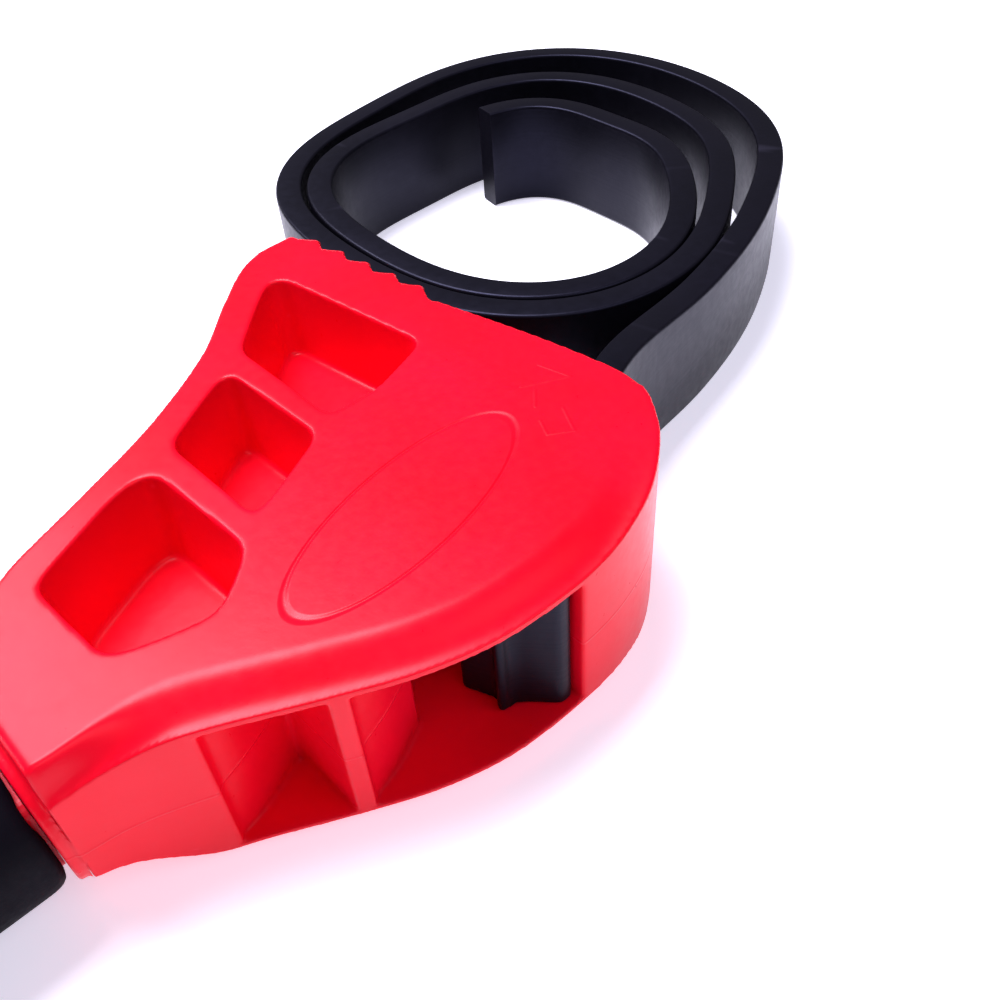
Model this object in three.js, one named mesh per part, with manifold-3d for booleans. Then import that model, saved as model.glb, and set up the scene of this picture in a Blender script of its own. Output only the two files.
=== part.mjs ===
// Strap wrench: a moulded head and handle core, a rubber grip sleeve and a flat rubber strap.
// Millimetres, +X from the handle to the jaw, +Z up, lying on its side with the strap coiled past the jaw.
// Plan positions are counted from the neck, where the handle meets the head; the last lines move the
// finished group so that its origin is the middle of its footprint.
import * as THREE from "three";
import { mergeVertices } from "three/addons/utils/BufferGeometryUtils.js";
import Module from "manifold-3d";

const wasm = await Module();
wasm.setup();

// Driving dimensions
const HEAD_THICK = 22;
const WALL = 2; // the plates above and below the strap's channel
const STRAP_WIDE = 17;
const STRAP_THICK = 4;
const GAP = 0.3; // clearance between neighbouring pieces
const EDGE = 0.8; // rounding of the head's outer edges
const HANDLE_LONG = 101;
const HANDLE_Y = 12; // the handle's axis
const SLEEVE_FRONT = -1.4; // the grip's front rim, just behind the neck
const SLEEVE_WIDE = 17.6;
const SLEEVE_THICK = 16;
const SLEEVE_CORNER = 7.2;
const SLEEVE_WALL = 3; // rubber behind the tang's end
const COLLAR_FRONT = 2; // the collar and the tang run this far into the head
const COLLAR_BACK = -1.1;
const COLLAR_WIDE = 18.2;
const COLLAR_THICK = 16.6;
const COLLAR_CORNER = 7;
const TANG_WIDE = 12.6;
const TANG_THICK = 10;
const TANG_CORNER = 1.5;
const HANG_HOLE_R = 3.5;
const HANG_HOLE_X = -90;

const RED = { color: 0xe3181f, roughness: 0.38, metalness: 0 };
const BLACK = { color: 0x17161b, roughness: 0.7, metalness: 0 };

// The head's outline: from the neck along its left side, over the teeth, down the jaw face and back along
// its curved right side.
const LEFT_SIDE = [
  [0, 21.5],
  [5, 23.2],
  [9.1, 26],
  [18, 29.9],
  [28.8, 35],
  [39.4, 41.9],
  [46.9, 49.1],
  [53, 54.6],
  [58, 56.8],
  [62.9, 57],
];
const TOOTH_COUNT = 5;
const TOOTH_PITCH = 4.8;
const TOOTH_DEPTH = 1.7;
const FIRST_TOOTH = [64.3, 53.2];
const TOOTH_LEAN = 5.4; // degrees between the row of teeth and the head's width
const RIGHT_SIDE = [
  [64.8, 30.3],
  [67.7, 15],
  [69.2, 3],
  [68.2, -0.6],
  [65.3, -4.4],
  [62.4, -6.9],
  [57.9, -9.8],
  [53, -11.6],
  [48, -12.5],
  [42, -12.6],
  [35, -11.9],
  [28, -9.7],
  [21, -6.2],
  [12, -1.3],
  [5, 1.6],
  [0, 2.5],
];

// Blind pockets, the same in the top and the bottom plate.
const TIP_POCKET = [
  [50.6, 46.6],
  [54.6, 48.4],
  [55.6, 47],
  [57.9, 25.4],
  [56.9, 23.8],
  [49, 21.6],
  [43.4, 21.5],
  [42.4, 23],
  [42.9, 38.5],
  [43.6, 39.9],
];
const MIDDLE_POCKET = [
  [35.4, 34.6],
  [38.4, 36],
  [39.6, 35.2],
  [39.8, 21],
  [39, 19.7],
  [30.6, 15.5],
  [29.2, 15.3],
  [28.4, 16.6],
  [28.2, 29.4],
  [28.9, 30.6],
];
const NECK_POCKET = [
  [19.8, 27.1],
  [23.2, 27.9],
  [24.8, 26.4],
  [25.4, 12.8],
  [23.6, 10.2],
  [19.4, 7.2],
  [14.4, 8],
  [10.2, 9.6],
  [9.2, 20.8],
  [10.7, 22.3],
];
const POCKET_DEPTH = 10;
const POCKET_DRAFT = 0.86; // the floor's size against the mouth's

// Hollows behind the side window, one each side of its rib, both open through the right wall.
const NECK_CAVITY = [
  [11.5, -6],
  [11.5, -0.4],
  [14.7, 0.5],
  [20.9, 3.1],
  [21, -12],
];
const FEED_CAVITY = [
  [22.6, -14],
  [22.6, -6.3],
  [26.9, -4.9],
  [31.3, -2.8],
  [36, -0.4],
  [44.9, 0],
  [44.9, -18],
];

// The strap's way through the head.
const SLOT_HEADING = THREE.MathUtils.degToRad(25);
const JAW_EXIT = new THREE.Vector2(70.8, 7.7); // just clear of the jaw face
const SLOT_STRAP_LONG = 28;
const FEED_STEP = 7; // from the anchored strap's slot to the free feed slot beside it
const SLOT_WIDE = STRAP_THICK + 2 * GAP;
const FEED_SLOT_WIDE = 6;
const SLOT_DEEP = 34; // from the jaw exit back to the lug
const FEED_SLOT_DEEP = 40; // from the jaw to the window's hollow
const SLOT_OVERRUN = 10; // how far the slot cutters stand out past the jaw

// The anchored end: a thick moulded lug that bears on the window's end wall.
const ANCHOR_LUG = [
  [37.2, -2.6],
  [39, -6.6],
  [37.9, -7.8],
  [40.2, -8.4],
  [42.8, -11.6],
  [44.5, -11.6],
  [44.5, -5.8],
  [43.5, -3.2],
];

// The coil: a lobed spiral whose turns touch near the jaw and stand apart on the far right.
const COIL_MIDDLE = new THREE.Vector2(108, 56);
const COIL_RADIUS = 40.9;
const COIL_LOBES = [
  { count: 1, height: 1.2, at: 144 }, // at: degrees
  { count: 2, height: 4.1, at: 36 },
  { count: 3, height: 1.1, at: 11 },
  { count: 4, height: 1.3, at: -40 },
];
const TURN_STEP = 4.4; // between touching turns
const TURN_SPREAD = 7.7; // added where the turns stand apart
const SPREAD_AT = 24; // degrees
const COIL_FROM = -72; // where the strap's straight run meets the coil
const COIL_TO = 790;
const COIL_PIECE = 72; // degrees of coil in one piece
const FREE_END_FROM = 690; // the last stretch, past the third hinge line
const STRAP_STEP = 3; // length of one facet along the strap
const CAP_FACETS = 12; // round a hinge's half circle

const rad = THREE.MathUtils.degToRad;

const shapeOf = (points) =>
  new THREE.Shape(points.map(([x, y]) => new THREE.Vector2(x, y)));

const solid = (geometry) => {
  const bare = geometry.clone();
  bare.deleteAttribute("normal");
  bare.deleteAttribute("uv");
  const merged = mergeVertices(bare, 1e-4);
  const mesh = new wasm.Mesh({
    numProp: 3,
    vertProperties: merged.attributes.position.array,
    triVerts: new Uint32Array(merged.index.array),
  });
  return new wasm.Manifold(mesh);
};

const geometryOf = (manifold) => {
  const mesh = manifold.getMesh();
  const geometry = new THREE.BufferGeometry();
  geometry.setAttribute(
    "position",
    new THREE.BufferAttribute(new Float32Array(mesh.vertProperties), 3),
  );
  geometry.setIndex(new THREE.BufferAttribute(new Uint32Array(mesh.triVerts), 1));
  const flat = geometry.toNonIndexed();
  flat.computeVertexNormals();
  return flat;
};

// A flat outline made solid from z0 up to z1.
const prism = (points, z0, z1) =>
  new THREE.ExtrudeGeometry(shapeOf(points), {
    depth: z1 - z0,
    bevelEnabled: false,
  }).translate(0, 0, z0);

// The same with its top and bottom edges rounded.
const roundedPrism = (points, z0, z1, edge) =>
  new THREE.ExtrudeGeometry(shapeOf(points), {
    depth: z1 - z0 - 2 * edge,
    bevelThickness: edge,
    bevelSize: edge,
    bevelOffset: -edge,
    bevelSegments: 2,
  }).translate(0, 0, z0 + edge);

// Red moulding

const toothPoints = () => {
  const lean = rad(TOOTH_LEAN);
  const along = new THREE.Vector2(Math.sin(lean), -Math.cos(lean));
  const out = new THREE.Vector2(Math.cos(lean), Math.sin(lean));
  const firstPeak = new THREE.Vector2(...FIRST_TOOTH);
  const firstValley = firstPeak
    .clone()
    .addScaledVector(along, -TOOTH_PITCH / 2)
    .addScaledVector(out, -TOOTH_DEPTH);
  const points = [firstValley.toArray()];
  for (let i = 0; i < TOOTH_COUNT; i++) {
    points.push(firstPeak.clone().addScaledVector(along, i * TOOTH_PITCH).toArray());
    points.push(firstValley.clone().addScaledVector(along, (i + 1) * TOOTH_PITCH).toArray());
  }
  return points;
};

// A blind pocket cut between its floor and just past its mouth, narrowing toward the floor.
const pocketCutter = (outline, mouth, floor) => {
  const middle = outline
    .reduce((sum, [x, y]) => sum.add(new THREE.Vector2(x, y)), new THREE.Vector2())
    .divideScalar(outline.length);
  const past = mouth + Math.sign(mouth - floor);
  const cutter = prism(outline, Math.min(past, floor), Math.max(past, floor));
  const position = cutter.attributes.position;
  const lip = 1 + (1 - POCKET_DRAFT) / POCKET_DEPTH;
  for (let i = 0; i < position.count; i++) {
    const scale = Math.abs(position.getZ(i) - floor) < 1 ? POCKET_DRAFT : lip;
    position.setX(i, middle.x + (position.getX(i) - middle.x) * scale);
    position.setY(i, middle.y + (position.getY(i) - middle.y) * scale);
  }
  return solid(cutter);
};

// A straight slot for the strap, `aside` millimetres to the left of the anchored strap's line.
const slotCutter = (aside, wide, deep) => {
  const long = deep + SLOT_OVERRUN;
  const slot = new THREE.BoxGeometry(long, wide, HEAD_THICK - 2 * WALL);
  slot.translate(SLOT_OVERRUN - long / 2, aside, HEAD_THICK / 2);
  slot.rotateZ(SLOT_HEADING);
  return solid(slot.translate(JAW_EXIT.x, JAW_EXIT.y, 0));
};

// A bar along the handle's axis with a rounded-rectangle section.
const handleBar = (wide, thick, corner, x0, x1) => {
  const across = wide / 2 - corner;
  const up = thick / 2 - corner;
  const section = new THREE.Shape();
  section.absarc(across, up, corner, 0, Math.PI / 2);
  section.absarc(-across, up, corner, Math.PI / 2, Math.PI);
  section.absarc(-across, -up, corner, Math.PI, 1.5 * Math.PI);
  section.absarc(across, -up, corner, 1.5 * Math.PI, 2 * Math.PI);
  const bar = new THREE.ExtrudeGeometry(section, {
    depth: x1 - x0,
    bevelEnabled: false,
    curveSegments: 6,
  });
  const alongX = new THREE.Matrix4().makeBasis(
    new THREE.Vector3(0, 1, 0),
    new THREE.Vector3(0, 0, 1),
    new THREE.Vector3(1, 0, 0),
  );
  return solid(bar.applyMatrix4(alongX).translate(x0, HANDLE_Y, HEAD_THICK / 2));
};

// The red core behind the head: a short collar, then the tang inside the grip.
const collar = () =>
  handleBar(COLLAR_WIDE, COLLAR_THICK, COLLAR_CORNER, COLLAR_BACK, COLLAR_FRONT);
const tang = () =>
  handleBar(TANG_WIDE, TANG_THICK, TANG_CORNER, SLEEVE_WALL - HANDLE_LONG, COLLAR_FRONT);

const hangHole = (radius) =>
  solid(
    new THREE.CylinderGeometry(radius, radius, 2 * HEAD_THICK, 24)
      .rotateX(Math.PI / 2)
      .translate(HANG_HOLE_X, HANDLE_Y, HEAD_THICK / 2),
  );

const headAndCore = () => {
  const outline = [...LEFT_SIDE, ...toothPoints(), ...RIGHT_SIDE].reverse();
  let head = solid(roundedPrism(outline, 0, HEAD_THICK, EDGE));
  for (const pocket of [TIP_POCKET, MIDDLE_POCKET, NECK_POCKET]) {
    head = head.subtract(pocketCutter(pocket, HEAD_THICK, HEAD_THICK - POCKET_DEPTH));
    head = head.subtract(pocketCutter(pocket, 0, POCKET_DEPTH));
  }
  for (const cavity of [NECK_CAVITY, FEED_CAVITY])
    head = head.subtract(
      solid(prism([...cavity].reverse(), WALL, HEAD_THICK - WALL)),
    );
  head = head.subtract(slotCutter(0, SLOT_WIDE, SLOT_DEEP));
  head = head.subtract(slotCutter(FEED_STEP, FEED_SLOT_WIDE, FEED_SLOT_DEEP));
  return head.add(collar()).add(tang()).subtract(hangHole(HANG_HOLE_R));
};

// Grip sleeve: a soft-cornered tube over the tang, closed and rounded at its back end.
const gripSleeve = () => {
  const half = SLEEVE_WIDE / 2;
  const back = -HANDLE_LONG;
  const round = SLEEVE_CORNER;
  const plan = new THREE.Shape();
  plan.moveTo(SLEEVE_FRONT, HANDLE_Y - half);
  plan.lineTo(SLEEVE_FRONT, HANDLE_Y + half);
  plan.absarc(back + round, HANDLE_Y + half - round, round, Math.PI / 2, Math.PI);
  plan.absarc(back + round, HANDLE_Y - half + round, round, Math.PI, 1.5 * Math.PI);
  const planPrism = new THREE.ExtrudeGeometry(plan, {
    depth: HEAD_THICK,
    bevelEnabled: false,
    curveSegments: 6,
  });
  const body = handleBar(SLEEVE_WIDE, SLEEVE_THICK, SLEEVE_CORNER, back, SLEEVE_FRONT);
  const bore = handleBar(
    TANG_WIDE + 2 * GAP,
    TANG_THICK + 2 * GAP,
    TANG_CORNER + GAP,
    SLEEVE_WALL - GAP - HANDLE_LONG,
    0,
  );
  return body.intersect(solid(planPrism)).subtract(bore).subtract(hangHole(HANG_HOLE_R));
};

// Strap

const coilRadius = (angle) => {
  const lobes = COIL_LOBES.reduce(
    (sum, { count, height, at }) => sum + height * Math.cos(count * (angle - rad(at))),
    0,
  );
  const apart = (1 + Math.cos(angle - rad(SPREAD_AT))) / 2;
  const step = TURN_STEP + TURN_SPREAD * apart ** 2;
  return COIL_RADIUS + lobes - (step * angle) / (2 * Math.PI);
};

const coilPoint = (degrees) => {
  const angle = rad(degrees);
  const radius = coilRadius(angle);
  return new THREE.Vector2(Math.cos(angle), Math.sin(angle))
    .multiplyScalar(radius)
    .add(COIL_MIDDLE);
};

// The free run from the jaw to the coil: it leaves the slot straight and joins the coil's line.
const RUN_LEAVING = 0.25; // the curve's two handles, against its span
const RUN_JOINING = 0.45;
const runCurve = () => {
  const end = coilPoint(COIL_FROM);
  const tangent = coilPoint(COIL_FROM + 0.5).sub(end).normalize();
  const span = end.distanceTo(JAW_EXIT);
  const leave = new THREE.Vector2(Math.cos(SLOT_HEADING), Math.sin(SLOT_HEADING));
  return new THREE.CubicBezierCurve(
    JAW_EXIT,
    JAW_EXIT.clone().addScaledVector(leave, RUN_LEAVING * span),
    end.clone().addScaledVector(tangent, -RUN_JOINING * span),
    end,
  );
};

// Stations along a stretch of the strap, about STRAP_STEP apart.
const stationsOf = (pointAt, from, to) => {
  const rough = Array.from({ length: 40 }, (_, i) => pointAt(from + ((to - from) * i) / 39));
  let length = 0;
  for (let i = 1; i < rough.length; i++) length += rough[i].distanceTo(rough[i - 1]);
  const count = Math.max(2, Math.round(length / STRAP_STEP));
  return Array.from({ length: count + 1 }, (_, i) => pointAt(from + ((to - from) * i) / count));
};

// A strap piece through the stations, pulled in by half a gap at each plain end. At a hinge line the
// piece after it has a round end centred on the line, and the piece before it a hollow end to clear that.
const strapPiece = (stations, { roundStart = false, hollowEnd = false } = {}) => {
  const half = STRAP_THICK / 2;
  const line = stations.map((p) => p.clone());
  const last = line.length - 1;
  const hinge = line[last].clone();
  const endTrim = hollowEnd ? 0 : 0.5 * GAP;
  if (!roundStart) line[0].lerp(line[1], (0.5 * GAP) / line[0].distanceTo(line[1]));
  line[last].lerp(line[last - 1], endTrim / line[last].distanceTo(line[last - 1]));
  const left = [];
  const right = [];
  line.forEach((point, i) => {
    const along = line[Math.min(i + 1, last)].clone().sub(line[Math.max(i - 1, 0)]).normalize();
    const side = new THREE.Vector2(-along.y, along.x).multiplyScalar(half);
    left.push(point.clone().add(side).toArray());
    right.push(point.clone().sub(side).toArray());
  });
  const cap = [];
  if (roundStart) {
    const back = line[1].clone().sub(line[0]).angle() + Math.PI / 2;
    for (let i = 1; i < CAP_FACETS; i++) {
      const turn = back + (Math.PI * i) / CAP_FACETS;
      cap.push([line[0].x + half * Math.cos(turn), line[0].y + half * Math.sin(turn)]);
    }
  }
  const piece = prism([...right, ...left.reverse(), ...cap], 0, STRAP_WIDE);
  if (!hollowEnd) return piece;
  const clearing = new THREE.CylinderGeometry(half + GAP, half + GAP, 2 * STRAP_WIDE, 48);
  clearing.rotateX(Math.PI / 2).translate(hinge.x, hinge.y, STRAP_WIDE / 2);
  return geometryOf(solid(piece).subtract(solid(clearing)));
};

const strapInSlot = () => {
  const back = JAW_EXIT.clone().addScaledVector(
    new THREE.Vector2(Math.cos(SLOT_HEADING), Math.sin(SLOT_HEADING)),
    -SLOT_STRAP_LONG,
  );
  return strapPiece([back, JAW_EXIT], { hollowEnd: true }).translate(0, 0, WALL + GAP);
};

// Assembly

const wrench = new THREE.Group();
wrench.name = "strap_wrench";

const addPiece = (name, geometry, look) => {
  const mesh = new THREE.Mesh(geometry, new THREE.MeshStandardMaterial(look));
  mesh.name = name;
  wrench.add(mesh);
};

addPiece("head_and_handle_core", geometryOf(headAndCore()), RED);
addPiece("grip_sleeve", geometryOf(gripSleeve()), BLACK);
addPiece("strap_anchor_lug", prism([...ANCHOR_LUG], WALL + GAP, WALL + GAP + STRAP_WIDE), BLACK);
addPiece("strap_in_slot", strapInSlot(), BLACK);

const addStrap = (name, pointAt, from, to, ends) =>
  addPiece(name, strapPiece(stationsOf(pointAt, from, to), ends), BLACK);

const run = runCurve();
const runPoint = (t) => run.getPoint(t);
addStrap("strap_run_by_jaw", runPoint, 0, 0.5, { roundStart: true, hollowEnd: true });
addStrap("strap_run_to_coil", runPoint, 0.5, 1, { roundStart: true });

let from = COIL_FROM;
for (let i = 1; from < FREE_END_FROM; i++) {
  const to = Math.min(from + COIL_PIECE, FREE_END_FROM);
  addStrap(`strap_coil_${i}`, coilPoint, from, to, { hollowEnd: to === FREE_END_FROM });
  from = to;
}
addStrap("strap_free_end", coilPoint, FREE_END_FROM, COIL_TO, { roundStart: true });

// Origin to the middle of the footprint, with the underside at z = 0.
const box = new THREE.Box3().setFromObject(wrench);
wrench.position.set(
  -(box.min.x + box.max.x) / 2,
  -(box.min.y + box.max.y) / 2,
  -box.min.z,
);
wrench.updateMatrixWorld(true);

export default wrench;
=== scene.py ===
"""Strap wrench: the visual model, its materials and a plain studio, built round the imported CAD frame.

Plan positions are millimetres from the neck, where the handle meets the head: x toward the jaw, y toward the
toothed side, z up from the floor. `place` turns them into the frame's metres.
"""

import math

import bmesh
import bpy
import numpy as np
from mathutils import Matrix, Vector


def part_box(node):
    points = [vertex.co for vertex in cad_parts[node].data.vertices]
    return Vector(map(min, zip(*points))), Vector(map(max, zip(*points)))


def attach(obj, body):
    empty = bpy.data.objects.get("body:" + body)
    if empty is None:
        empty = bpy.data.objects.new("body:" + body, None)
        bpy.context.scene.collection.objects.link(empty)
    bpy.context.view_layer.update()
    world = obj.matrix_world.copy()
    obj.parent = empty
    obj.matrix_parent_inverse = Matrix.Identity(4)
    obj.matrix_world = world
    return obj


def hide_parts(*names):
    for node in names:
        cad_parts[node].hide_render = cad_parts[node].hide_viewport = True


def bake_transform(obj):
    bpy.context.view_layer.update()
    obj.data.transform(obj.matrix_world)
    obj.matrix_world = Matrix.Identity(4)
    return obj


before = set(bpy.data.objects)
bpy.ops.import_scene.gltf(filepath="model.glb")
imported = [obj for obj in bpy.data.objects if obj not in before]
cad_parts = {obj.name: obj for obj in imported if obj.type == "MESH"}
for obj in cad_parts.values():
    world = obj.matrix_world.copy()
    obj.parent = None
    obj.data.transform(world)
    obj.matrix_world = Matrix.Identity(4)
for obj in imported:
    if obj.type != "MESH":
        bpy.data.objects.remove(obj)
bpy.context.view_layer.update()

# Driving dimensions, in millimetres
HEAD_THICK = 22.0
WALL = 2.0
STRAP_WIDE = 17.0
STRAP_THICK = 4.0
HANDLE_Y = 12.0
HANDLE_LONG = 101.0
SLEEVE_FRONT = -1.4
SLEEVE_WIDE = 17.6
SLEEVE_THICK = 16.0
SLEEVE_WALL = 3.0
SLEEVE_CORNER = 7.2
COLLAR_WIDE = 18.2
COLLAR_THICK = 16.6
COLLAR_CORNER = 7.0
COLLAR_BACK = -1.1
COLLAR_FRONT = 2.0
TANG_WIDE = 12.6
TANG_THICK = 10.0
TANG_CORNER = 1.5
HANG_HOLE_X = -90.0
HANG_HOLE_R = 3.5
HEAD_EDGE = 0.7
STRAP_EDGE = 0.45
LUG_EDGE = 0.3

# How finely the moulded pieces are meshed, and how often their edges are smoothed
HEAD_VOXEL = 0.3
GRIP_VOXEL = 0.5
LUG_VOXEL = 0.2
SMOOTHING = 3
CURVE_STEP = 1.0
EDGE_SEGMENTS = 3

# Colours, sheen and surface relief (relief in metres)
RED_DEEP = (0.80, 0.001, 0.012)
RED_LIGHT = (0.88, 0.002, 0.020)
RED_EDGE = (0.88, 0.03, 0.06)
RED_ROUGHNESS = (0.26, 0.36)
RED_SPECULAR = 0.16
RED_GLOW_WEIGHT = 0.08
RED_GLOW_REACH = (0.0025, 0.0004, 0.0003)
RED_RELIEF = 0.00035
RED_RIPPLE = 0.00006
STRAP_DARK = (0.002, 0.0018, 0.003)
STRAP_PALE = (0.004, 0.0036, 0.006)
# painted highlight: the colour that the strap rubber's sharp edges are lightened to
STRAP_PAINTED_HIGHLIGHT = (0.012, 0.011, 0.017)
STRAP_ROUGHNESS = (0.30, 0.44)
STRAP_SPECULAR = 0.18
STRAP_SHEEN = (0.6, 0.6, 1.0)
FINE_GRAIN = 0.00002
GRIP_DARK = (0.0015, 0.001, 0.0025)
GRIP_PALE = (0.004, 0.003, 0.006)
GRIP_ROUGHNESS = (0.5, 0.7)
GRIP_SPECULAR = 0.05
GRIP_GRAIN = 0.00004
RIB_PITCH = 3.2
RIB_RELIEF = 0.0004

# Studio
FLOOR_PALE = (0.95, 0.95, 0.95)
FLOOR_GLOW = 0.56
FLOOR_ROUGHNESS = 0.9
FLOOR_HALF = 3.0
FLOOR_BELOW = 0.0001
SKY_TINT = (0.86, 0.84, 1.0)
SKY_STRENGTH = 0.15
SOFT_BOXES = [  # (name, position, target, size, watts), in metres
    ("overhead", (0.0, 0.22, 0.65), (0.04, 0, 0), (0.35, 0.35), 9.0),
    ("far_side", (-0.03, 0.42, 0.42), (0, 0, 0), (0.2, 0.2), 1.6),
    ("near_side", (0.1, -0.45, 0.5), (0.04, 0, 0), (0.5, 0.3), 1.2),
]
CAMERA_AT = (0.1, -53.6, 88.1)
CAMERA_LENS = 36.4
CAMERA_SENSOR = 36.0
CAMERA_HEADING = math.radians(49)
CAMERA_PITCH = math.radians(43.5)
CAMERA_ROLL = math.radians(4.3)

LUG_CORNER = (37.2, -11.6)  # the anchor lug's lowest corner in plan, which ties the plan to the frame
lug_low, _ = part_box("strap_anchor_lug")
PLAN_X = lug_low.x - LUG_CORNER[0] / 1000
PLAN_Y = lug_low.y - LUG_CORNER[1] / 1000


def place(x, y, z):
    return Vector((PLAN_X + x / 1000, PLAN_Y + y / 1000, z / 1000))


# ---------------------------------------------------------------- mesh helpers


def new_object(name, bm):
    mesh = bpy.data.meshes.new(name)
    bm.to_mesh(mesh)
    bm.free()
    obj = bpy.data.objects.new(name, mesh)
    bpy.context.scene.collection.objects.link(obj)
    return obj


def rounded(points, radius, steps=4):
    """The closed outline with each corner replaced by a short arc-like curve."""
    most = 0.45  # of a side, so that neighbouring corners never meet
    out = []
    n = len(points)
    for i in range(n):
        a, b, c = (Vector(points[j % n][:2]) for j in (i - 1, i, i + 1))
        to_a, to_c = a - b, c - b
        reach_a = min(radius, most * to_a.length)
        reach_c = min(radius, most * to_c.length)
        p = b + to_a.normalized() * reach_a
        q = b + to_c.normalized() * reach_c
        for k in range(steps + 1):
            t = k / steps
            out.append(tuple((1 - t) ** 2 * p + 2 * t * (1 - t) * b + t * t * q))
    return out


def curve_point(a, b, c, d, t):
    """The point at t, from 0 to 1, of the smooth curve from b to c with neighbours a and d."""
    line = 2 * b + (c - a) * t
    bend = (2 * a - 5 * b + 4 * c - d) * t * t
    twist = (3 * b - a - 3 * c + d) * t**3
    return tuple(0.5 * (line + bend + twist))


def flowing(points):
    """A smooth open curve through the points."""
    pts = [Vector(p) for p in points]
    ends = [2 * pts[0] - pts[1], *pts, 2 * pts[-1] - pts[-2]]
    out = []
    for i in range(1, len(ends) - 2):
        a, b, c, d = ends[i - 1 : i + 3]
        count = max(1, round((c - b).length / CURVE_STEP))
        out.extend(curve_point(a, b, c, d, k / count) for k in range(count))
    out.append(tuple(pts[-1]))
    return out


def prism(name, outline, z0, z1, top_scale=1.0, edge=0.0):
    """A solid over a closed outline: the top may be scaled about the middle, the rims rounded by `edge`."""
    bm = bmesh.new()
    middle = sum((Vector(p) for p in outline), Vector((0, 0))) / len(outline)
    low = [bm.verts.new(place(x, y, z0)) for x, y in outline]
    high = []
    for p in outline:
        q = middle + (Vector(p) - middle) * top_scale
        high.append(bm.verts.new(place(q.x, q.y, z1)))
    n = len(outline)
    for i in range(n):
        bm.faces.new((low[i], low[(i + 1) % n], high[(i + 1) % n], high[i]))
    caps = [bm.faces.new(list(reversed(low))), bm.faces.new(high)]
    if edge:
        rims = {e for cap in caps for e in cap.edges}
        bmesh.ops.bevel(
            bm, geom=list(rims), offset=edge / 1000, segments=EDGE_SEGMENTS, profile=0.5, affect="EDGES"
        )
    bmesh.ops.recalc_face_normals(bm, faces=bm.faces)
    return new_object(name, bm)


def carve(obj, cutters, operation="DIFFERENCE"):
    """Applies one boolean per cutter to obj and removes the cutters."""
    for cutter in cutters:
        mod = obj.modifiers.new("cut", "BOOLEAN")
        mod.operation = operation
        mod.solver = "EXACT"
        mod.object = cutter
        apply_modifiers(obj)
        bpy.data.objects.remove(cutter)


def apply_modifiers(obj):
    graph = bpy.context.evaluated_depsgraph_get()
    mesh = bpy.data.meshes.new_from_object(obj.evaluated_get(graph))
    obj.modifiers.clear()
    old = obj.data
    obj.data = mesh
    bpy.data.meshes.remove(old)


def soften(obj, voxel):
    """Remeshes a carved solid evenly and rounds its edges as a mould does."""
    mod = obj.modifiers.new("even", "REMESH")
    mod.mode = "VOXEL"
    mod.voxel_size = voxel / 1000
    mod.use_smooth_shade = True
    smooth = obj.modifiers.new("round", "SMOOTH")
    smooth.factor = 0.5
    smooth.iterations = SMOOTHING
    apply_modifiers(obj)
    obj.data.shade_smooth()


def coordinates(obj):
    """The vertices as plan millimetres."""
    co = np.empty(len(obj.data.vertices) * 3)
    obj.data.vertices.foreach_get("co", co)
    co = co.reshape(-1, 3)
    return (co - np.array([PLAN_X, PLAN_Y, 0])) * 1000


def set_coordinates(obj, plan):
    co = plan / 1000 + np.array([PLAN_X, PLAN_Y, 0])
    obj.data.vertices.foreach_set("co", co.ravel())
    obj.data.update()


def distance_to_path(xy, path):
    """Distance of each point from an open path."""
    best = np.full(len(xy), np.inf)
    for a, b in zip(path[:-1], path[1:]):
        a, b = np.array(a), np.array(b)
        d = b - a
        t = np.clip(((xy - a) @ d) / (d @ d), 0, 1)
        best = np.minimum(best, np.hypot(*(xy - a - t[:, None] * d).T))
    return best


def ease(x, lo, hi):
    """0 up to lo, 1 from hi on, and a soft step between."""
    t = np.clip((x - lo) / (hi - lo), 0, 1)
    return t * t * (3 - 2 * t)


# ---------------------------------------------------------------- head

LEFT_SIDE = [
    (0, 21.5),
    (5, 23.2),
    (9.1, 26),
    (18, 29.9),
    (28.8, 35),
    (39.4, 41.9),
    (46.9, 49.1),
    (53, 54.4),
    (58, 56.8),
]
JAW_TIP = (62.9, 57)
RIGHT_SIDE = [
    (64.8, 30.3),
    (67.7, 15),
    (69.0, 4),
    (68.6, 0.6),
    (66.9, -2.3),
    (63.4, -6.1),
    (57.9, -9.8),
    (53, -11.6),
    (48, -12.5),
    (42, -12.6),
    (35, -11.9),
    (28, -9.7),
    (21, -6.2),
    (12, -1.3),
    (5, 1.6),
    (0, 2.5),
]
WINDOW_TOP = 19.5
TOOTH_COUNT = 5
TOOTH_PITCH = 4.8
TOOTH_DEPTH = 2.5  # 0.8 mm over the finished depth, which the softening takes off
FIRST_TOOTH = Vector((64.7, 53.2))
TOOTH_LEAN = math.radians(5.4)

TIP_POCKET = [(53.3, 49.0), (55.4, 48.1), (58, 24.6), (49, 21.5), (42.5, 21.4), (42.8, 39.2), (50.3, 46.5)]
MIDDLE_POCKET = [(38.0, 36), (39.6, 35.6), (39.8, 20), (30.7, 15.5), (28.4, 15.0), (28.2, 30.1), (35.4, 34.6)]
NECK_POCKET = [
    (23.0, 28),
    (24.9, 27),
    (25.5, 12.2),
    (23.6, 10),
    (19.4, 6.8),
    (14.3, 8),
    (9.9, 9.6),
    (9.2, 21.4),
    (11.0, 22.8),
    (19.8, 27.2),
]
POCKET_DEPTH = 10.0
POCKET_DRAFT = 0.86  # the floor's size against the mouth's
POCKET_CORNER = 2.0
OVERCUT = 1.0  # how far a cutter starts outside the plates

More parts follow.
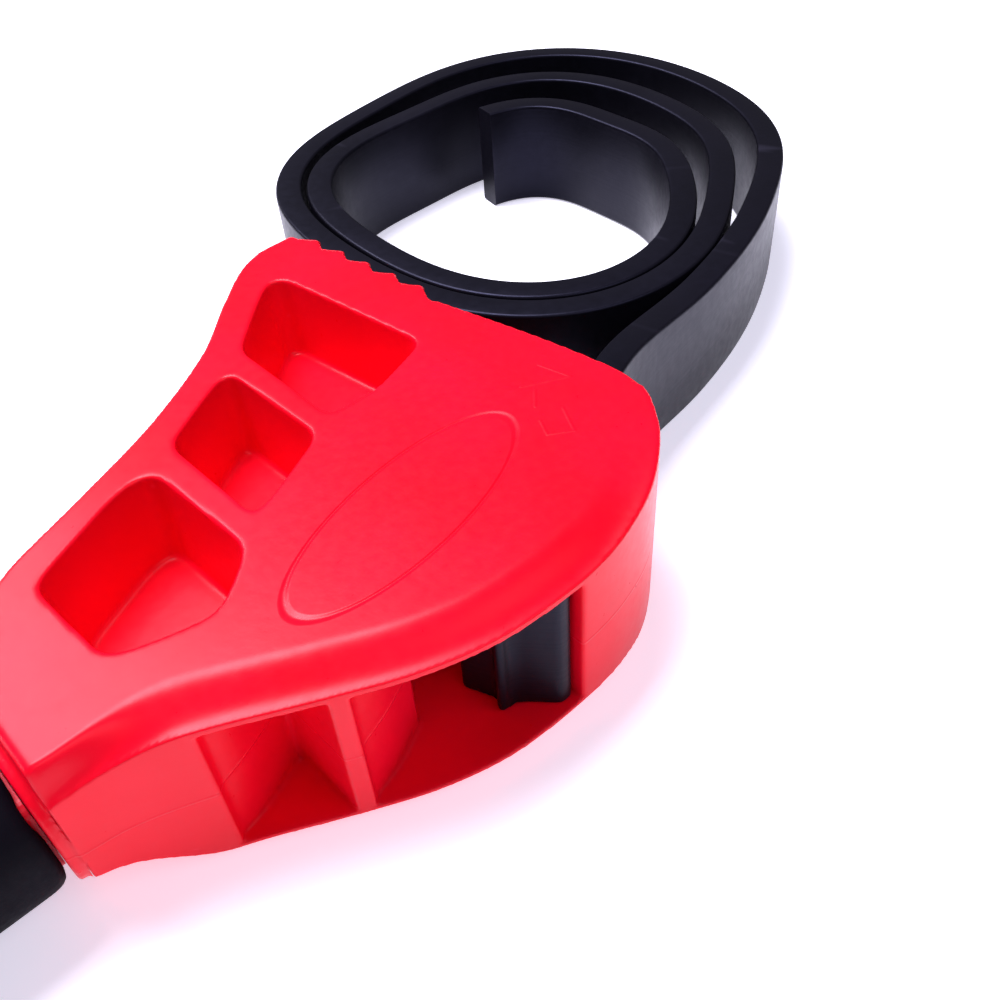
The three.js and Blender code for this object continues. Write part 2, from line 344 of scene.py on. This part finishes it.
NECK_CAVITY = [(11.5, -6), (11.5, -0.4), (14.7, 0.5), (20.9, 3.1), (21, -12)]
FEED_CAVITY = [(22.6, -14), (22.6, -6.3), (26.9, -4.9), (31.3, -2.8), (36, -0.4), (44.9, 0), (44.9, -18)]
CAVITY_CORNER = 0.8
SLOT_HEADING = math.radians(25)
JAW_EXIT = Vector((70.8, 7.7))
SLOT_OVERRUN = 10
SLOT_WIDE = 4.6
SLOT_LONG = 44
FEED_STEP = 7.0
FEED_WIDE = 6.0
FEED_LONG = 50

# The head's soft shoulder along its right side, and the rounding of the neck that it runs into
SHOULDER_FIRST = 5  # where it starts among the points of the right side
SHOULDER_WIDE = 4.8
SHOULDER_DROP = 1.7
SHOULDER_LIP = 0.2
SHOULDER_FADE = (44, 62)
NECK_LONG = 11
NECK_DEEP = 8
NECK_WIDENS = (1, 13)
NECK_ROUNDING = ((1, 1.6, 1.8), (-1, 5.2, 8.0))  # (upper or lower plate, further drop, width)
COLLAR_CLEAR_X = 0.3
COLLAR_CLEAR = 0.4


def teeth():
    along = Vector((math.sin(TOOTH_LEAN), -math.cos(TOOTH_LEAN)))
    out = Vector((math.cos(TOOTH_LEAN), math.sin(TOOTH_LEAN)))
    valley = FIRST_TOOTH - along * TOOTH_PITCH / 2 - out * TOOTH_DEPTH
    points = [JAW_TIP, tuple(valley)]
    for i in range(TOOTH_COUNT):
        points.append(tuple(FIRST_TOOTH + along * TOOTH_PITCH * i))
        points.append(tuple(valley + along * TOOTH_PITCH * (i + 1)))
    return points


def slot_box(aside, wide, long):
    along = Vector((math.cos(SLOT_HEADING), math.sin(SLOT_HEADING)))
    left = Vector((-along.y, along.x))
    start = JAW_EXIT + left * aside + along * SLOT_OVERRUN
    corners = [
        start + left * wide / 2,
        start + left * wide / 2 - along * long,
        start - left * wide / 2 - along * long,
        start - left * wide / 2,
    ]
    return prism("slot", [tuple(c) for c in corners], WALL, HEAD_THICK - WALL)


def build_head():
    outline = [*flowing(LEFT_SIDE), *teeth(), *flowing(RIGHT_SIDE)]
    outline.reverse()
    head = prism("head", outline, 0, HEAD_THICK, edge=HEAD_EDGE)
    cutters = []
    for pocket in (TIP_POCKET, MIDDLE_POCKET, NECK_POCKET):
        rim = rounded(pocket, POCKET_CORNER)
        cutters.append(flared_pocket(rim, HEAD_THICK + OVERCUT, HEAD_THICK - POCKET_DEPTH))
        cutters.append(flared_pocket(rim, -OVERCUT, POCKET_DEPTH))
    for cavity in (NECK_CAVITY, FEED_CAVITY):
        cutters.append(prism("cavity", rounded(cavity, CAVITY_CORNER, 2), WALL, WINDOW_TOP))
    cutters.append(slot_box(0, SLOT_WIDE, SLOT_LONG))
    cutters.append(slot_box(FEED_STEP, FEED_WIDE, FEED_LONG))
    carve(head, cutters)
    collar = handle_bar("collar", COLLAR_WIDE, COLLAR_THICK, COLLAR_CORNER, COLLAR_BACK, COLLAR_FRONT)
    carve(head, [collar], "UNION")
    soften(head, HEAD_VOXEL)
    shoulders(head)
    return head


def flared_pocket(rim, mouth_z, floor_z):
    """A cutter that narrows from just outside a plate to the pocket's floor."""
    mouth_scale = 1 + (1 - POCKET_DRAFT) / POCKET_DEPTH
    middle = sum((Vector(p) for p in rim), Vector((0, 0))) / len(rim)
    mouth = [tuple(middle + (Vector(p) - middle) * mouth_scale) for p in rim]
    return prism("pocket", mouth, mouth_z, floor_z, top_scale=POCKET_DRAFT / mouth_scale)


def rounded_section(wide, thick, corner, steps=8):
    """A rounded rectangle as (across, up) points about the handle's axis."""
    across, up = wide / 2 - corner, thick / 2 - corner
    points = []
    for i, (sx, sz) in enumerate(((1, 1), (-1, 1), (-1, -1), (1, -1))):
        for k in range(steps + 1):
            a = math.pi / 2 * (i + k / steps)
            points.append((sx * across + corner * math.cos(a), sz * up + corner * math.sin(a)))
    return points


def loft(name, stations):
    """A closed solid through sections given as (x, points) along the handle."""
    bm = bmesh.new()
    rings = []
    for x, points in stations:
        rings.append([bm.verts.new(place(x, HANDLE_Y + y, HEAD_THICK / 2 + z)) for y, z in points])
    n = len(rings[0])
    for a, b in zip(rings[:-1], rings[1:]):
        for k in range(n):
            bm.faces.new((a[k], a[(k + 1) % n], b[(k + 1) % n], b[k]))
    bm.faces.new(rings[0])
    bm.faces.new(list(reversed(rings[-1])))
    bmesh.ops.recalc_face_normals(bm, faces=bm.faces)
    return new_object(name, bm)


def handle_bar(name, wide, thick, corner, x0, x1):
    """A straight bar on the handle's axis, from x0 to x1."""
    section = rounded_section(wide, thick, corner)
    return loft(name, [(x0, section), (x1, section)])


def shoulders(obj):
    """Lowers both plates toward the right wall in a soft shoulder that rounds the whole wall at the neck.

    The collar keeps its shape.
    """
    plan = coordinates(obj)
    x, z = plan[:, 0], plan[:, 2]
    away = distance_to_path(plan[:, :2], flowing(RIGHT_SIDE[SHOULDER_FIRST:]))
    fade = 1 - ease(x, *SHOULDER_FADE)
    neck = 1 - ease(x, 0, NECK_LONG)
    start = WINDOW_TOP - NECK_DEEP * neck
    across = np.maximum(abs(plan[:, 1] - HANDLE_Y) - COLLAR_WIDE / 2 + COLLAR_CORNER, 0)
    up = np.maximum(abs(z - HEAD_THICK / 2) - COLLAR_THICK / 2 + COLLAR_CORNER, 0)
    collar = (x < COLLAR_CLEAR_X) & (np.hypot(across, up) < COLLAR_CORNER + COLLAR_CLEAR)
    for side, neck_drop, neck_wide in NECK_ROUNDING:
        drop = SHOULDER_DROP + neck_drop * neck
        wide = neck_wide + (SHOULDER_WIDE - neck_wide) * ease(x, *NECK_WIDENS)
        near = (1 - ease(away, SHOULDER_LIP, wide)) * fade * ~collar
        height = HEAD_THICK / 2 + side * (z - HEAD_THICK / 2)
        squeeze = 1 - near * drop / (HEAD_THICK - start)
        lowered = np.where(height > start, start + (height - start) * squeeze, height)
        z = HEAD_THICK / 2 + side * (lowered - HEAD_THICK / 2)
    plan[:, 2] = z
    set_coordinates(obj, plan)


TANG_GAP = 0.1  # behind the collar, so that the two meshes stay apart
DRILL_SIDES = 48
DRILL_OVERRUN = 2.0


def build_tang():
    back = SLEEVE_WALL - HANDLE_LONG
    front = COLLAR_BACK - TANG_GAP
    tang = handle_bar("handle_tang", TANG_WIDE, TANG_THICK, TANG_CORNER, back, front)
    carve(tang, [hang_drill()])
    return tang


def hang_drill():
    ring = []
    for i in range(DRILL_SIDES):
        a = 2 * math.pi * i / DRILL_SIDES
        ring.append((HANG_HOLE_X + HANG_HOLE_R * math.cos(a), HANDLE_Y + HANG_HOLE_R * math.sin(a)))
    return prism("drill", ring, -DRILL_OVERRUN, HEAD_THICK + DRILL_OVERRUN)


# ---------------------------------------------------------------- grip


SECTIONS = 80
CROWDING = 0.9  # how much closer the sections stand at both ends and in the middle
FRONT_ROUND = 1.4
FRONT_INSET = 2.4
BACK_ROUND = 7
BACK_WIDE = 0.5  # of the full width, at the very end
BACK_THICK = 0.55
WAIST = 0.04
WAIST_LONG = 60
MOST_CORNER = 0.48
BORE_CLEARANCE = 0.3
END_START = 0.05  # the very end is cut this much short of a point


def opened(depth, radius):
    """How far a rounded end has opened at this depth, up to 1 where the rounding stops."""
    short = 1 - min(1, (depth + END_START) / radius)
    return math.sqrt(1 - short**2)


def build_grip():
    """A moulded sleeve with soft corners, rounded at both ends, slightly waisted, bored for the tang."""
    long = HANDLE_LONG + SLEEVE_FRONT
    stations = []
    for i in range(SECTIONS + 1):
        depth = long * (i / SECTIONS - CROWDING * math.sin(4 * math.pi * i / SECTIONS) / (4 * math.pi))
        inset = FRONT_INSET * (1 - opened(depth, FRONT_ROUND))
        behind = opened(long - depth, BACK_ROUND)
        waist = 1 - WAIST * math.sin(math.pi * min(1, depth / WAIST_LONG)) ** 2
        wide = (SLEEVE_WIDE - inset) * waist * (BACK_WIDE + (1 - BACK_WIDE) * behind)
        thick = (SLEEVE_THICK - inset) * (BACK_THICK + (1 - BACK_THICK) * behind)
        corner = min(SLEEVE_CORNER, MOST_CORNER * wide, MOST_CORNER * thick)
        stations.append((SLEEVE_FRONT - depth, rounded_section(wide, thick, corner, 12)))
    grip = loft("grip_sleeve_rubber", stations)
    bore = handle_bar(
        "bore",
        TANG_WIDE + 2 * BORE_CLEARANCE,
        TANG_THICK + 2 * BORE_CLEARANCE,
        TANG_CORNER + BORE_CLEARANCE,
        SLEEVE_WALL - BORE_CLEARANCE - HANDLE_LONG,
        0,
    )
    carve(grip, [bore, hang_drill()])
    soften(grip, GRIP_VOXEL)
    return grip


# ---------------------------------------------------------------- strap

LUG = [
    (37.2, -2.6),
    (38.9, -6.3),
    (38.3, -6.9),
    (37.8, -7.7),
    (38.5, -8.2),
    (39.2, -7.9),
    (40.2, -8.4),
    (42.9, -11.6),
    (44.5, -11.6),
    (44.6, -5.8),
    (43.6, -3.0),
]
COIL_MIDDLE = Vector((108, 56))
COIL_RADIUS = 40.9
COIL_LOBES = ((1, 1.2, 144), (2, 4.1, 36), (3, 1.1, 11), (4, 1.3, -40))  # (count, height, degrees)
TURN_STEP = 4.4
TURN_SPREAD = 7.7
SPREAD_AT = 24
COIL_FROM = -72
COIL_TO = 790
FREE_END_FROM = 690
COIL_POINT_STEP = 2
RUN_LEAVING = 0.25
RUN_JOINING = 0.45
RUN_POINTS = 60
SLOT_STRAP_LONG = 28
STRAP_LIFT = 2.3
LOWERED_FROM, LOWERED_BY = -2, 26  # along the strap from the jaw exit
SIGHT = 0.6
LUG_CLEARANCE = 0.25


def coil_point(degrees):
    """A lobed spiral whose turns stand farther apart on one side."""
    angle = math.radians(degrees)
    lobes = sum(h * math.cos(n * (angle - math.radians(at))) for n, h, at in COIL_LOBES)
    apart = (1 + math.cos(angle - math.radians(SPREAD_AT))) / 2
    step = TURN_STEP + TURN_SPREAD * apart**2
    radius = COIL_RADIUS + lobes - step * angle / (2 * math.pi)
    return COIL_MIDDLE + radius * Vector((math.cos(angle), math.sin(angle)))


def run_point(t):
    """The free run between the jaw exit at t 0 and the coil at t 1."""
    end = coil_point(COIL_FROM)
    tangent = (coil_point(COIL_FROM + 0.5) - end).normalized()
    span = (end - JAW_EXIT).length
    a = JAW_EXIT + RUN_LEAVING * span * Vector((math.cos(SLOT_HEADING), math.sin(SLOT_HEADING)))
    b = end - RUN_JOINING * span * tangent
    return (1 - t) ** 3 * JAW_EXIT + 3 * (1 - t) ** 2 * t * a + 3 * (1 - t) * t * t * b + t**3 * end


def strap_route():
    """The strap's middle line from the lug to its free end, and where along it the hinge lines lie."""
    along = Vector((math.cos(SLOT_HEADING), math.sin(SLOT_HEADING)))
    route = [JAW_EXIT + along * (i - SLOT_STRAP_LONG) for i in range(SLOT_STRAP_LONG)]
    marks = {"jaw": len(route)}
    route += [run_point(i / RUN_POINTS) for i in range(RUN_POINTS)]
    marks["run"] = marks["jaw"] + RUN_POINTS // 2
    marks["free"] = len(route) + (FREE_END_FROM - COIL_FROM) // COIL_POINT_STEP
    route += [coil_point(d) for d in range(COIL_FROM, COIL_TO + 1, COIL_POINT_STEP)]
    xy = np.array([tuple(p) for p in route])
    length = np.concatenate([[0], np.cumsum(np.hypot(*np.diff(xy, axis=0).T))])
    return xy, length, {name: length[i] for name, i in marks.items()}


ROUTE, LENGTH, MARKS = strap_route()


def on_route(s):
    return np.array([np.interp(s, LENGTH, ROUTE[:, 0]), np.interp(s, LENGTH, ROUTE[:, 1])])


def strap_base(s):
    """Height of the strap's lower edge: held up in the head, down on the floor outside it."""
    return STRAP_LIFT * (1 - float(ease(s, MARKS["jaw"] + LOWERED_FROM, MARKS["jaw"] + LOWERED_BY)))


def strap_section():
    """The belt's section as (across, up): a flat rectangle with rounded corners."""
    half, r = STRAP_THICK / 2, STRAP_EDGE
    side, top = half - r, STRAP_WIDE - r
    points = []
    for across, up, start in ((side, r, -90), (side, top, 0), (-side, top, 90), (-side, r, 180)):
        for k in range(5):
            a = math.radians(start + 22.5 * k)
            points.append((across + r * math.cos(a), up + r * math.sin(a)))
    return points


def build_strap(name, s0, s1):
    """The belt from s0 to s1 along its middle line, with flat ends."""
    count = max(2, round((s1 - s0) / CURVE_STEP))
    section = strap_section()
    bm = bmesh.new()
    rings = []
    for i in range(count + 1):
        s = s0 + (s1 - s0) * i / count
        middle = on_route(s)
        ahead = on_route(s + SIGHT) - on_route(s - SIGHT)
        ahead /= np.hypot(*ahead)
        left = np.array([-ahead[1], ahead[0]])
        base = strap_base(s)
        rings.append([bm.verts.new(place(*(middle - left * across), base + up)) for across, up in section])
    n = len(section)
    for a, b in zip(rings[:-1], rings[1:]):
        for k in range(n):
            bm.faces.new((a[k], a[(k + 1) % n], b[(k + 1) % n], b[k]))
    caps = [bm.faces.new(list(reversed(rings[0]))), bm.faces.new(rings[-1])]
    bmesh.ops.recalc_face_normals(bm, faces=bm.faces)
    for face in bm.faces:
        face.smooth = face not in caps
    for cap in caps:
        for edge in cap.edges:
            edge.smooth = False
    return new_object(name, bm)


# ---------------------------------------------------------------- materials


class Nodes:
    """A thin wrapper that adds and joins shader nodes."""

    def __init__(self, name):
        self.material = bpy.data.materials.new(name)
        self.material.use_nodes = True
        self.tree = self.material.node_tree
        self.shader = self.tree.nodes["Principled BSDF"]

    def add(self, kind, **settings):
        node = self.tree.nodes.new(kind)
        for key, value in settings.items():
            setattr(node, key, value)
        return node

    def join(self, source, target):
        self.tree.links.new(source, target)

    def value(self, operation, *inputs):
        node = self.add("ShaderNodeMath", operation=operation)
        for socket, given in zip(node.inputs, inputs):
            if isinstance(given, (int, float)):
                socket.default_value = given
            else:
                self.join(given, socket)
        return node.outputs[0]

    def noise(self, vector, scale, detail=4.0, roughness=0.5):
        node = self.add("ShaderNodeTexNoise")
        node.inputs["Scale"].default_value = scale
        node.inputs["Detail"].default_value = detail
        node.inputs["Roughness"].default_value = roughness
        self.join(vector, node.inputs["Vector"])
        return node.outputs["Fac"]

    def span(self, value, lo, hi, to_lo, to_hi, smooth=False):
        node = self.add("ShaderNodeMapRange")
        if smooth:
            node.interpolation_type = "SMOOTHSTEP"
        for socket, given in zip(node.inputs[1:5], (lo, hi, to_lo, to_hi)):
            socket.default_value = given
        self.join(value, node.inputs[0])
        return node.outputs[0]

    def blend_colours(self, factor, a, b):
        node = self.add("ShaderNodeMix", data_type="RGBA")
        self.join(factor, node.inputs["Factor"])
        for socket, given in ((node.inputs[6], a), (node.inputs[7], b)):
            if isinstance(given, tuple):
                socket.default_value = (*given, 1)
            else:
                self.join(given, socket)
        return node.outputs[2]

    def bump(self, height, distance, strength=1.0, after=None):
        node = self.add("ShaderNodeBump")
        node.inputs["Distance"].default_value = distance
        node.inputs["Strength"].default_value = strength
        self.join(height, node.inputs["Height"])
        if after is not None:
            self.join(after, node.inputs["Normal"])
        return node.outputs[0]


def mottled(n, coords, scale, detail, dark, pale):
    """A base colour that wanders between two close shades."""
    broad = n.noise(coords, scale, detail)
    return n.blend_colours(n.span(broad, 0.3, 0.7, 0, 1), dark, pale)


def edge_wear_and_highlight(n, colour, lo, hi, most, edge_colour):
    """The colour with its sharp edges turned toward another: edge wear on the red plastic, a painted
    highlight along the rubber's edges.
    """
    pointed = n.add("ShaderNodeNewGeometry").outputs["Pointiness"]
    return n.blend_colours(n.span(pointed, lo, hi, 0.0, most), colour, edge_colour)


def finish_surface(n, colour, fine, roughness, specular):
    n.join(colour, n.shader.inputs["Base Color"])
    n.join(n.span(fine, 0.2, 0.8, *roughness), n.shader.inputs["Roughness"])
    n.shader.inputs["Specular IOR Level"].default_value = specular


PANEL_MIDDLE = (39.2, 4.7)
PANEL_HALF = (16.0, 5.8)
PANEL_TILT = math.radians(11)
GROOVE_HALF = 0.35
GROOVE_DEEP = 0.32
MARK_WIDE = 0.55
MARK_HIGH = 0.1
SEAM_HALF = 0.25
SEAM_HIGH = 0.13
UPPER_FACE = (21.2, 21.6)  # heights between which the marks of the upper face appear
ARROWS = [
    [(63.7, 11.4), (64.5, 7.4), (59.6, 10.0)],
    [(60.2, 8.5), (58.2, 6.5)],
    [(56.9, 4.5), (55.8, 2.4), (58.1, 0.8), (60.0, 4.2)],
]


def plan_axes(n):
    """Sockets for plan x, y and z in millimetres, from the object's own coordinates."""
    coords = n.add("ShaderNodeTexCoord").outputs["Object"]
    split = n.add("ShaderNodeSeparateXYZ")
    n.join(coords, split.inputs[0])
    x = n.value("MULTIPLY", n.value("SUBTRACT", split.outputs[0], PLAN_X), 1000)
    y = n.value("MULTIPLY", n.value("SUBTRACT", split.outputs[1], PLAN_Y), 1000)
    z = n.value("MULTIPLY", split.outputs[2], 1000)
    return coords, x, y, z


def stroke(n, x, y, a, b, wide):
    """1 on the line from a to b, falling to 0 at half its width."""
    dx, dy = b[0] - a[0], b[1] - a[1]
    long2 = dx * dx + dy * dy
    px, py = n.value("SUBTRACT", x, a[0]), n.value("SUBTRACT", y, a[1])
    t = n.value("DIVIDE", n.value("ADD", n.value("MULTIPLY", px, dx), n.value("MULTIPLY", py, dy)), long2)
    t = n.value("MINIMUM", n.value("MAXIMUM", t, 0.0), 1.0)
    ox = n.value("SUBTRACT", px, n.value("MULTIPLY", t, dx))
    oy = n.value("SUBTRACT", py, n.value("MULTIPLY", t, dy))
    away = n.value("SQRT", n.value("ADD", n.value("MULTIPLY", ox, ox), n.value("MULTIPLY", oy, oy)))
    return n.span(away, wide / 2, 0.0, 0.0, 1.0, smooth=True)


def panel_groove(n, x, y):
    """The shallow groove of the oval panel."""
    tilt_cos, tilt_sin = math.cos(PANEL_TILT), math.sin(PANEL_TILT)
    px, py = n.value("SUBTRACT", x, PANEL_MIDDLE[0]), n.value("SUBTRACT", y, PANEL_MIDDLE[1])
    u = n.value("ADD", n.value("MULTIPLY", px, tilt_cos), n.value("MULTIPLY", py, tilt_sin))
    v = n.value("SUBTRACT", n.value("MULTIPLY", py, tilt_cos), n.value("MULTIPLY", px, tilt_sin))
    u, v = n.value("DIVIDE", u, PANEL_HALF[0]), n.value("DIVIDE", v, PANEL_HALF[1])
    ring = n.value("SQRT", n.value("ADD", n.value("MULTIPLY", u, u), n.value("MULTIPLY", v, v)))
    off = n.value("MULTIPLY", n.value("ABSOLUTE", n.value("SUBTRACT", ring, 1.0)), PANEL_HALF[1] * 1.3)
    return n.span(off, GROOVE_HALF, 0.0, 0.0, GROOVE_DEEP, smooth=True)


def arrow_marks(n, x, y):
    """The raised strokes beside the panel."""
    marks = 0.0
    for path in ARROWS:
        for a, b in zip(path[:-1], path[1:]):
            marks = n.value("MAXIMUM", stroke(n, x, y, a, b, MARK_WIDE), marks)
    return marks


def parting_seam(n, z):
    """The mould's parting line at the head's mid height."""
    from_middle = n.value("ABSOLUTE", n.value("SUBTRACT", z, HEAD_THICK / 2))
    return n.span(from_middle, SEAM_HALF, 0.0, 0.0, 1.0, smooth=True)


def red_plastic():
    n = Nodes("red_moulded_plastic")
    coords, x, y, z = plan_axes(n)
    colour = mottled(n, coords, 60, 3, RED_DEEP, RED_LIGHT)
    colour = edge_wear_and_highlight(n, colour, 0.56, 0.66, 0.4, RED_EDGE)
    fine = n.noise(coords, 900, 5, 0.6)
    finish_surface(n, colour, fine, RED_ROUGHNESS, RED_SPECULAR)
    n.shader.inputs["Subsurface Weight"].default_value = RED_GLOW_WEIGHT
    n.shader.inputs["Subsurface Radius"].default_value = RED_GLOW_REACH
    top = n.span(z, *UPPER_FACE, 0, 1)
    groove = n.value("MULTIPLY", panel_groove(n, x, y), top)
    marks = n.value("MULTIPLY", arrow_marks(n, x, y), top)
    relief = n.value("SUBTRACT", n.value("MULTIPLY", marks, MARK_HIGH), groove)
    relief = n.value("ADD", relief, n.value("MULTIPLY", parting_seam(n, z), SEAM_HIGH))
    shaped = n.bump(relief, RED_RELIEF)
    ripple = n.bump(n.noise(coords, 140, 3), RED_RIPPLE, 0.5, shaped)
    grain = n.bump(fine, FINE_GRAIN, 0.6, ripple)
    n.join(grain, n.shader.inputs["Normal"])
    return n.material


def strap_rubber():
    n = Nodes("strap_rubber")
    coords, _, _, z = plan_axes(n)
    colour = mottled(n, coords, 45, 4, STRAP_DARK, STRAP_PALE)
    # painted highlight: the sharp edges of the strap and lug are lightened to stand in for light caught on
    # their rounded edges
    colour = edge_wear_and_highlight(n, colour, 0.55, 0.66, 1.0, STRAP_PAINTED_HIGHLIGHT)
    fine = n.noise(coords, 700, 4, 0.6)
    finish_surface(n, colour, fine, STRAP_ROUGHNESS, STRAP_SPECULAR)
    n.shader.inputs["Specular Tint"].default_value = (*STRAP_SHEEN, 1)
    # faint lines that run along the belt, from its extrusion
    lines = n.add("ShaderNodeTexNoise", noise_dimensions="1D")
    n.join(z, lines.inputs["W"])
    lines.inputs["Scale"].default_value = 2.2
    lines.inputs["Detail"].default_value = 3
    shaped = n.bump(lines.outputs["Fac"], FINE_GRAIN, 0.5)
    grain = n.bump(fine, FINE_GRAIN, 0.6, shaped)
    n.join(grain, n.shader.inputs["Normal"])
    return n.material


def grip_rubber():
    n = Nodes("grip_rubber")
    coords, x, _, _ = plan_axes(n)
    colour = mottled(n, coords, 80, 4, GRIP_DARK, GRIP_PALE)
    fine = n.noise(coords, 1400, 5, 0.65)
    finish_surface(n, colour, fine, GRIP_ROUGHNESS, GRIP_SPECULAR)
    # shallow ribs across the grip, clear of both ends
    wave = n.value("SINE", n.value("MULTIPLY", x, 2 * math.pi / RIB_PITCH))
    clear = n.value("MULTIPLY", n.span(x, -16, -22, 0, 1), n.span(x, -80, -72, 0, 1))
    ribs = n.bump(n.value("MULTIPLY", wave, clear), RIB_RELIEF, 0.6)
    grain = n.bump(fine, GRIP_GRAIN, 0.7, ribs)
    n.join(grain, n.shader.inputs["Normal"])
    return n.material


def floor_paint():
    n = Nodes("pale_floor")
    n.shader.inputs["Base Color"].default_value = (*FLOOR_PALE, 1)
    n.shader.inputs["Emission Color"].default_value = (*SKY_TINT, 1)
    n.shader.inputs["Emission Strength"].default_value = FLOOR_GLOW
    n.shader.inputs["Roughness"].default_value = FLOOR_ROUGHNESS
    n.shader.inputs["Specular IOR Level"].default_value = 0.0
    return n.material


# ---------------------------------------------------------------- assembly

red = red_plastic()
rubber = strap_rubber()
grip_look = grip_rubber()


def finish_piece(obj, look, nodes):
    obj.data.materials.clear()
    obj.data.materials.append(look)
    if nodes:
        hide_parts(*nodes)


head = build_head()
finish_piece(head, red, ["head_and_handle_core"])
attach(head, "handle")
tang = build_tang()
finish_piece(tang, red, [])
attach(tang, "handle")
grip = build_grip()
finish_piece(grip, grip_look, ["grip_sleeve"])
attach(grip, "handle")

lug_base = WALL + LUG_CLEARANCE
lug = prism("anchor_lug", rounded(LUG, 0.5, 2), lug_base, lug_base + STRAP_WIDE, edge=LUG_EDGE)
soften(lug, LUG_VOXEL)
finish_piece(lug, rubber, ["strap_anchor_lug"])
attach(lug, "handle")

# where the belt is parted, between and beside its hinge lines
JAW_PART = MARKS["jaw"] - 4
RUN_PART = (MARKS["jaw"] + MARKS["run"]) / 2
COIL_PART = MARKS["run"] + 12
END_PART = MARKS["free"] - 12

inside = build_strap("strap_in_head", 0, JAW_PART)
finish_piece(inside, rubber, ["strap_in_slot"])
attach(inside, "handle")

leaving = build_strap("strap_leaving_jaw", JAW_PART, RUN_PART)
finish_piece(leaving, rubber, ["strap_run_by_jaw"])
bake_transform(leaving)

crossing = build_strap("strap_joining_coil", RUN_PART, COIL_PART)
finish_piece(crossing, rubber, ["strap_run_to_coil"])
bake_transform(crossing)

coil = build_strap("strap_coil", COIL_PART, END_PART)
finish_piece(coil, rubber, [f"strap_coil_{i}" for i in range(1, 12)])
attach(coil, "strap_coil")

end = build_strap("strap_end", END_PART, LENGTH[-1])
finish_piece(end, rubber, ["strap_free_end"])
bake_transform(end)


# ---------------------------------------------------------------- studio


def build_floor():
    bm = bmesh.new()
    signs = ((-1, -1), (1, -1), (1, 1), (-1, 1))
    bm.faces.new([bm.verts.new((x * FLOOR_HALF, y * FLOOR_HALF, -FLOOR_BELOW)) for x, y in signs])
    floor = new_object("floor", bm)
    floor.data.materials.append(floor_paint())


def soft_box(name, position, target, size, power):
    light = bpy.data.lights.new(name, "AREA")
    light.shape = "RECTANGLE"
    light.size, light.size_y = size
    light.energy = power
    light.color = SKY_TINT
    obj = bpy.data.objects.new(name, light)
    bpy.context.scene.collection.objects.link(obj)
    obj.location = position
    obj.rotation_euler = (Vector(target) - Vector(position)).to_track_quat("-Z", "Y").to_euler()


def build_camera():
    """A hand-held close-up from beyond the handle's right side."""
    data = bpy.data.cameras.new("camera")
    data.lens = CAMERA_LENS
    data.sensor_width = CAMERA_SENSOR
    data.clip_start = 0.005
    data.clip_end = 20
    camera = bpy.data.objects.new("camera", data)
    bpy.context.scene.collection.objects.link(camera)
    ahead = Vector((math.cos(CAMERA_HEADING), math.sin(CAMERA_HEADING), 0))
    side = Vector((ahead.y, -ahead.x, 0))
    up = Vector((0, 0, 1))
    look = math.cos(CAMERA_PITCH) * ahead - math.sin(CAMERA_PITCH) * up
    down = -math.sin(CAMERA_PITCH) * ahead - math.cos(CAMERA_PITCH) * up
    right = math.cos(CAMERA_ROLL) * side + math.sin(CAMERA_ROLL) * down
    top = right.cross(look)
    turn = Matrix((right, top, -look)).transposed()
    camera.matrix_world = Matrix.Translation(place(*CAMERA_AT)) @ turn.to_4x4()
    bpy.context.scene.camera = camera


def build_sky():
    world = bpy.data.worlds.new("studio")
    bpy.context.scene.world = world
    world.use_nodes = True
    background = world.node_tree.nodes["Background"]
    background.inputs["Color"].default_value = (*SKY_TINT, 1)
    background.inputs["Strength"].default_value = SKY_STRENGTH


build_floor()
build_sky()
for box in SOFT_BOXES:
    soft_box(*box)
build_camera()
bpy.context.scene.view_settings.view_transform = "Standard"
